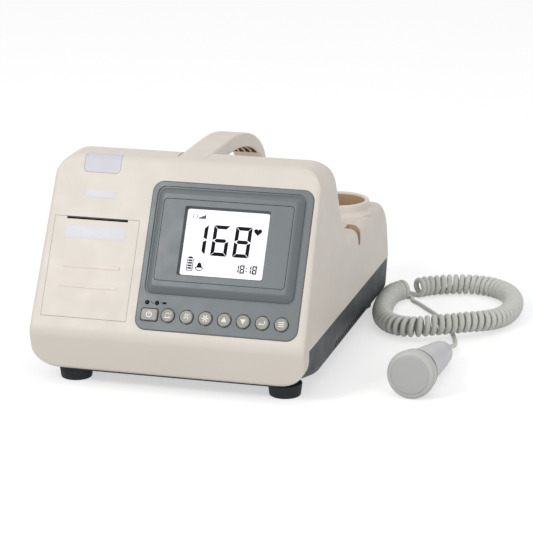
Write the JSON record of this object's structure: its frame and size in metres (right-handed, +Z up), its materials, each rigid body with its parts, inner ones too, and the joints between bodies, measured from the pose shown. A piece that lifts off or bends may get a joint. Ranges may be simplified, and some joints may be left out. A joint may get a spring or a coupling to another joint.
{
  "type": "desktop fetal doppler",
  "caption": "Desktop monitor with sloped face, display, push keys, built-in strip printer, carrying handle, probe cup and a hand probe on a curly cord.",
  "frame": {"origin": "on the floor, under the middle of the box round the case and the probe", "axes": "+X to the viewer's right, +Y towards the back of the case, +Z up"},
  "size_m": [0.3883, 0.4186, 0.1936],
  "materials": {
    "case_cream": "fine satin grain, moulded",
    "base_grey": "fine satin grain, moulded",
    "bezel_grey": "satin",
    "screen": "smooth, backlit white",
    "board": "solder mask",
    "rubber_black": "matt",
    "key_grey": "satin",
    "indicator_dark": "smooth",
    "lamp_lens": "translucent",
    "steel": "zinc plated",
    "brass": "plain",
    "inner_black": "satin",
    "gear_white": "plain",
    "paper": "thermal paper",
    "cord": "satin, soft",
    "battery_wrap": "shrink film",
    "foot_rubber": "matt",
    "probe_face": "smooth",
    "probe_shell": "satin",
    "probe_band": "smooth"
  },
  "bodies": {
    "root": {"upper_shell": "case_cream", "base_shell": "base_grey", "carry_handle": "case_cream", "probe_cup": "case_cream", "control_bezel": "bezel_grey", "display_frame": "bezel_grey", "lcd_panel": "screen", "lcd_board": "board", "keypad_mat": "rubber_black", "keypad_board": "board", "indicator_lights": "indicator_dark", "alarm_lamp_lens": "lamp_lens", "alarm_lamp_board": "board", "door_hinge_pin": "steel", "printer_chassis": "inner_black", "print_head": "board", "tear_bar": "steel", "printer_motor": "steel", "power_inlet": "inner_black", "inlet_pins": "steel", "probe_socket": "inner_black", "probe_plug": "cord", "plug_strain_relief": "cord", "main_board": "board", "power_supply_board": "board", "battery_pack": "battery_wrap", "speaker": "inner_black", "foot_1": "foot_rubber", "foot_2": "foot_rubber", "foot_3": "foot_rubber", "foot_4": "foot_rubber", "case_screw_1": "steel", "case_screw_2": "steel", "case_screw_3": "steel", "case_screw_4": "steel", "probe_face": "probe_face", "probe_head": "probe_shell", "transducer_disc": "brass", "probe_band": "probe_band", "probe_body": "probe_shell", "probe_strain_relief": "cord", "cord_coil": "cord", "probe_lead": "cord", "device_lead": "cord"},
    "key_1_body": {"key_1": "key_grey"},
    "key_2_body": {"key_2": "key_grey"},
    "key_3_body": {"key_3": "key_grey"},
    "key_4_body": {"key_4": "key_grey"},
    "key_5_body": {"key_5": "key_grey"},
    "key_6_body": {"key_6": "key_grey"},
    "key_7_body": {"key_7": "key_grey"},
    "power_key_body": {"power_key": "key_grey"},
    "door_body": {"printer_door": "case_cream"},
    "platen_body": {"platen_roller": "rubber_black"},
    "feed_gear_body": {"feed_gear": "gear_white"},
    "pinion_body": {"motor_pinion": "brass"},
    "roll_body": {"paper_roll": "paper"}
  },
  "joints": [
    {"name": "key_1_press", "type": "slide", "parent": "root", "child": "key_1_body", "axis": [0, 0.8771, -0.4802], "range_m": [0, 0.001], "stiffness_N_per_m": 400, "springref_m": -0.001},
    {"name": "key_2_press", "type": "slide", "parent": "root", "child": "key_2_body", "axis": [0, 0.8771, -0.4802], "range_m": [0, 0.001], "stiffness_N_per_m": 400, "springref_m": -0.001},
    {"name": "key_3_press", "type": "slide", "parent": "root", "child": "key_3_body", "axis": [0, 0.8771, -0.4802], "range_m": [0, 0.001], "stiffness_N_per_m": 400, "springref_m": -0.001},
    {"name": "key_4_press", "type": "slide", "parent": "root", "child": "key_4_body", "axis": [0, 0.8771, -0.4802], "range_m": [0, 0.001], "stiffness_N_per_m": 400, "springref_m": -0.001},
    {"name": "key_5_press", "type": "slide", "parent": "root", "child": "key_5_body", "axis": [0, 0.8771, -0.4802], "range_m": [0, 0.001], "stiffness_N_per_m": 400, "springref_m": -0.001},
    {"name": "key_6_press", "type": "slide", "parent": "root", "child": "key_6_body", "axis": [0, 0.8771, -0.4802], "range_m": [0, 0.001], "stiffness_N_per_m": 400, "springref_m": -0.001},
    {"name": "key_7_press", "type": "slide", "parent": "root", "child": "key_7_body", "axis": [0, 0.8771, -0.4802], "range_m": [0, 0.001], "stiffness_N_per_m": 400, "springref_m": -0.001},
    {"name": "power_key_press", "type": "slide", "parent": "root", "child": "power_key_body", "axis": [0, 0.8771, -0.4802], "range_m": [0, 0.001], "stiffness_N_per_m": 400, "springref_m": -0.001},
    {"name": "door_hinge", "type": "hinge", "parent": "root", "child": "door_body", "pos_m": [-0.12821, -0.16279, 0.05523], "axis": [1, 0, 0], "range_deg": [0, 85]},
    {"name": "platen_spin", "type": "hinge", "parent": "door_body", "child": "platen_body", "pos_m": [-0.12811, -0.11726, 0.13006], "axis": [1, 0, 0], "continuous": true},
    {"name": "feed_gear_spin", "type": "hinge", "parent": "root", "child": "feed_gear_body", "pos_m": [-0.09646, -0.10322, 0.12238], "axis": [1, 0, 0], "continuous": true},
    {"name": "pinion_spin", "type": "hinge", "parent": "root", "child": "pinion_body", "pos_m": [-0.09646, -0.09941, 0.10933], "axis": [1, 0, 0], "continuous": true},
    {"name": "roll_spin", "type": "hinge", "parent": "root", "child": "roll_body", "pos_m": [-0.12826, -0.11873, 0.07843], "axis": [1, 0, 0], "continuous": true}
  ],
  "couplings": [
    {"joint": "feed_gear_spin", "follows": "platen_spin", "ratio": -0.66667},
    {"joint": "pinion_spin", "follows": "platen_spin", "ratio": 1.6}
  ]
}
